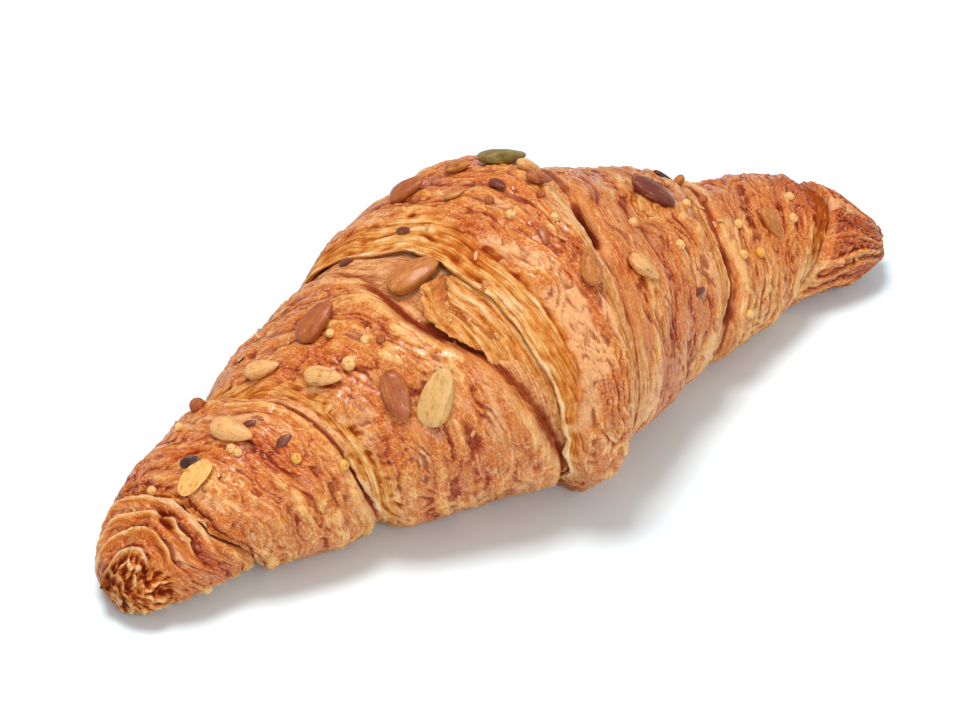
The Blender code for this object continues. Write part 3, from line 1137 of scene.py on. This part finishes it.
def strewn_lies(surface, count, reach, taken, rng):
    """Places, directions and normals of seeds on the side that the camera doesn't see."""
    eye = TARGET + camera_axes()[2] * CAMERA_DISTANCE
    for _ in range(STREWN_TRIES):
        if count == 0:
            return
        x = rng.uniform(*STREWN_X)
        angle = math.radians(rng.uniform(*STREWN_ANGLE))
        place, normal = surface.from_outside(x, angle)
        normal = surface.smooth_normal(place, normal, STREWN_SMOOTHING)
        along = Quaternion(normal, rng.uniform(0, 2 * math.pi)) @ normal.orthogonal()
        clear_of_crust = place + normal * CLEARANCE
        if surface.tree.ray_cast(clear_of_crust, (eye - clear_of_crust).normalized())[0] is None:
            continue
        if any((place - other).length < (reach + space) * MM for other, space in taken):
            continue
        taken.append((place, reach))
        count -= 1
        yield place, along.normalized(), normal


class Scatter:
    """Copies of one closed form that become one mesh."""

    def __init__(self, shape, variety, rings, around):
        self.shape, self.variety = shape, variety
        self.angles = closed_form(rings, around)
        self.template = closed_faces(rings, around)
        self.points, self.faces, self.values = [], [], {}

    def add(self, size, centre, along, normal, **values):
        """One more copy, with numbers that are the same on all its points."""
        number = len(self.points)
        local = np.stack(self.shape(*self.angles, self.variety * number), axis=-1) * size
        axes = np.array([along, normal.cross(along), normal])
        self.faces.extend(shifted(self.template, number * len(local)))
        self.points.append(local @ axes + centre)
        self.values.setdefault("grain", []).append(local + (0.0, 0.0, GRAIN_GAP * number))
        for key, value in values.items():
            spread = np.broadcast_to(value, (len(local), *np.shape(value)))
            self.values.setdefault(key, []).append(spread)

    def mesh(self, name):
        """The piece with every copy."""
        attributes = {key: np.concatenate(parts) for key, parts in self.values.items()}
        return make_mesh(name, np.vstack(self.points), self.faces, attributes)


def make_seeds(kind, surface, number, taken):
    """One mesh with every seed of a kind."""
    rng = np.random.default_rng(FIRST_DRAW + number)
    lies = [
        (*lie_of_seed(surface, column, row, tilt, length), length, shade)
        for column, row, tilt, length, shade in kind.placed
    ]
    reach = SPACING * max(row[3] for row in kind.placed)
    for lie in strewn_lies(surface, kind.strewn, reach, taken, rng):
        like = kind.placed[rng.integers(len(kind.placed))]
        lies.append((*lie, like[3] * rng.uniform(*SIZE_SPREAD), like[4]))
    scatter = Scatter(kind.shape, SEED_VARIETY, SEED_RINGS, SEED_AROUND)
    for place, along, normal, length, shade in lies:
        size = np.array(kind.proportions) * length / 2
        lift = kind.proportions[2] * length / 2 * (1 - 2 * kind.sink)
        centre = np.array(place) / MM + np.array(normal) * lift
        scatter.add(size, centre, along, normal, shade=shade[:3])
    return scatter.mesh(kind.name + "s")


def shard_shape(polar, turn, seed):
    """A thin curled scrap with an uneven outline."""
    radius = np.sin(polar) ** 0.6
    uneven = 1 + 0.4 * noise(2.6 * np.cos(polar) + seed, 0.4 * np.cos(turn) + seed, 21)
    across = radius * np.cos(turn) * uneven
    curl = 0.9 * across**2 + 0.7 * np.cos(polar) ** 2 * np.sign(np.sin(seed))
    return -np.cos(polar), across, 0.12 * radius * np.sin(turn) + 0.35 * curl


def make_shards(surface):
    """Scraps of the glazed film that came loose and lie on the crust."""
    rng = np.random.default_rng(SHARD_SEED)
    scatter = Scatter(shard_shape, SHARD_VARIETY, *SHARD_GRID)
    for _ in range(SHARD_COUNT):
        x, angle = rng.uniform(*SHARD_X), math.radians(rng.uniform(*SHARD_ANGLE))
        place, normal = surface.from_outside(x, angle)
        wrap = normal.cross(Vector((1.0, 0.0, 0.0))).normalized()
        along = Quaternion(normal, rng.normal(0, SHARD_TURN)) @ wrap
        length = rng.uniform(*SHARD_LENGTH)
        size = np.array((1.0, rng.uniform(*SHARD_SLENDER), SHARD_THICKNESS)) * length / 2
        peeled, toasted = rng.uniform(*SHARD_PEELED), rng.uniform(*SHARD_TOASTED)
        scatter.add(size, np.array(place) / MM, along, normal, peeled=peeled, toast=toasted)
    return scatter.mesh("loose_shards")


def seed_finish(name, roughness, coat, contrast, ribs, patch):
    """A seed's skin: its own shade, mottled, with fine lines along it."""
    finish = Finish(name)
    grain = finish.attribute("grain", "Vector")
    shade = finish.attribute("shade", "Vector")
    mottle = finish.noise(grain, (patch, patch * 0.7, patch * 0.7), 5.0, 0.7)
    lines = finish.noise(grain, (7.0, ribs, ribs), 3.0, 0.6)
    dark = finish.mixed(1.0, shade, (0.48, 0.30, 0.18, 1.0), "MULTIPLY")
    light = finish.mixed(0.35, shade, PALE)
    tone = mottle * 0.6 + lines * 0.4
    colour = finish.mixed(tone.over(0.52, 0.34) * contrast, shade, dark)
    colour = finish.mixed(tone.over(0.52, 0.7) * contrast, colour, light)
    return finish.surface(
        Base_Color=colour,
        Roughness=roughness + mottle * 0.15,
        Normal=finish.bump(lines * 0.6 + mottle * 0.6, 0.18),
        Specular_IOR_Level=0.35,
        Coat_Weight=coat,
        Coat_Roughness=0.18,
        Subsurface_Weight=0.06,
        Subsurface_Radius=(1.0, 0.5, 0.25),
        Subsurface_Scale=0.001,
    )


# Roughness, coat, contrast of the mottling, and in millimetres the width of the lines along
# a seed and of its patches
SEED_FINISHES = {
    "pumpkin_seed": (0.45, 0.25, 0.8, 0.5, 2.0),
    "sunflower_seed": (0.5, 0.15, 1.0, 0.35, 1.4),
    "flax_seed": (0.35, 0.3, 0.6, 0.5, 1.2),
    "millet_seed": (0.45, 0.15, 0.9, 0.6, 0.8),
    "oat_flake": (0.6, 0.05, 0.9, 0.3, 1.2),
}


# Light, floor and camera

WORLD_STRENGTH = 0.50
# Place and width in metres, and power in watts
KEY_LIGHT = ((-0.10, 0.08, 0.98), 0.34, 7.1)
FILL_LIGHT = ((-0.25, -1.1, 0.75), 0.7, 5.4)
FLOOR_WHITE = (0.83, 0.94, 0.98, 1.0)
FLOOR_SIDE = 6.0
FLOOR_LEVEL = -0.0001  # just under the croissant, so that the two faces don't coincide


def make_camera():
    """The camera that took the picture."""
    back = camera_axes()[2]
    camera = bpy.data.objects.new("camera", bpy.data.cameras.new("camera"))
    camera.data.sensor_width = SENSOR
    camera.data.lens = FOCAL_PIXELS * SENSOR / PICTURE[0]
    camera.data.clip_start = 0.01
    camera.location = TARGET + back * CAMERA_DISTANCE
    camera.rotation_euler = back.to_track_quat("Z", "Y").to_euler()
    bpy.context.scene.collection.objects.link(camera)
    bpy.context.scene.camera = camera


def make_light(name, place, size, watts):
    """A square area light that faces the croissant."""
    data = bpy.data.lights.new(name, "AREA")
    data.size = size
    data.energy = watts
    light = bpy.data.objects.new(name, data)
    light.location = place
    light.rotation_euler = Vector(place).to_track_quat("Z", "Y").to_euler()
    bpy.context.scene.collection.objects.link(light)


def light_scene():
    """A white room, a soft light overhead and a fill from the camera's side."""
    world = bpy.data.worlds.new("white_room")
    world.use_nodes = True
    background = world.node_tree.nodes["Background"]
    background.inputs["Color"].default_value = (1.0, 1.0, 1.0, 1.0)
    background.inputs["Strength"].default_value = WORLD_STRENGTH
    bpy.context.scene.world = world
    bpy.context.scene.view_settings.view_transform = "Standard"
    make_light("key", *KEY_LIGHT)
    make_light("fill", *FILL_LIGHT)


def make_floor():
    """The white surface that the croissant lies on."""
    bpy.ops.mesh.primitive_plane_add(size=FLOOR_SIDE, location=(0, 0, FLOOR_LEVEL))
    floor = bpy.context.object
    floor.name = "floor"
    finish = Finish("white_floor")
    floor.data.materials.append(finish.surface(Base_Color=FLOOR_WHITE, Roughness=0.7))


def main():
    """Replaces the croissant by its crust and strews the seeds."""
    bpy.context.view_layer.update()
    make_camera()
    light_scene()
    make_floor()
    finish = crust_finish()
    crust = make_crust()
    for piece in crust:
        piece.data.materials.append(finish)
        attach(piece, "root")
        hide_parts("croissant")
    surface = Surface(crust)
    shards = make_shards(surface)
    shards.data.materials.append(finish)
    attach(shards, "root")
    taken = [
        (surface.under_pixel(column, row)[0], SPACING * length)
        for kind in SEED_KINDS
        for column, row, _, length, _ in kind.placed
    ]
    for number, kind in enumerate(SEED_KINDS):
        piece = make_seeds(kind, surface, number, taken)
        piece.data.materials.append(seed_finish(kind.name, *SEED_FINISHES[kind.name]))
        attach(piece, "root")


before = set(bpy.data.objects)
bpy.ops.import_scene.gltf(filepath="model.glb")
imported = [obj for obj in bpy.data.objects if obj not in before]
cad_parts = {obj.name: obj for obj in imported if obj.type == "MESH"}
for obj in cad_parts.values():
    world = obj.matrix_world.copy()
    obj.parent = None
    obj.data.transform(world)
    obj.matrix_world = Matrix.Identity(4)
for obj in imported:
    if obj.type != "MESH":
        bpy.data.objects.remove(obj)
main()
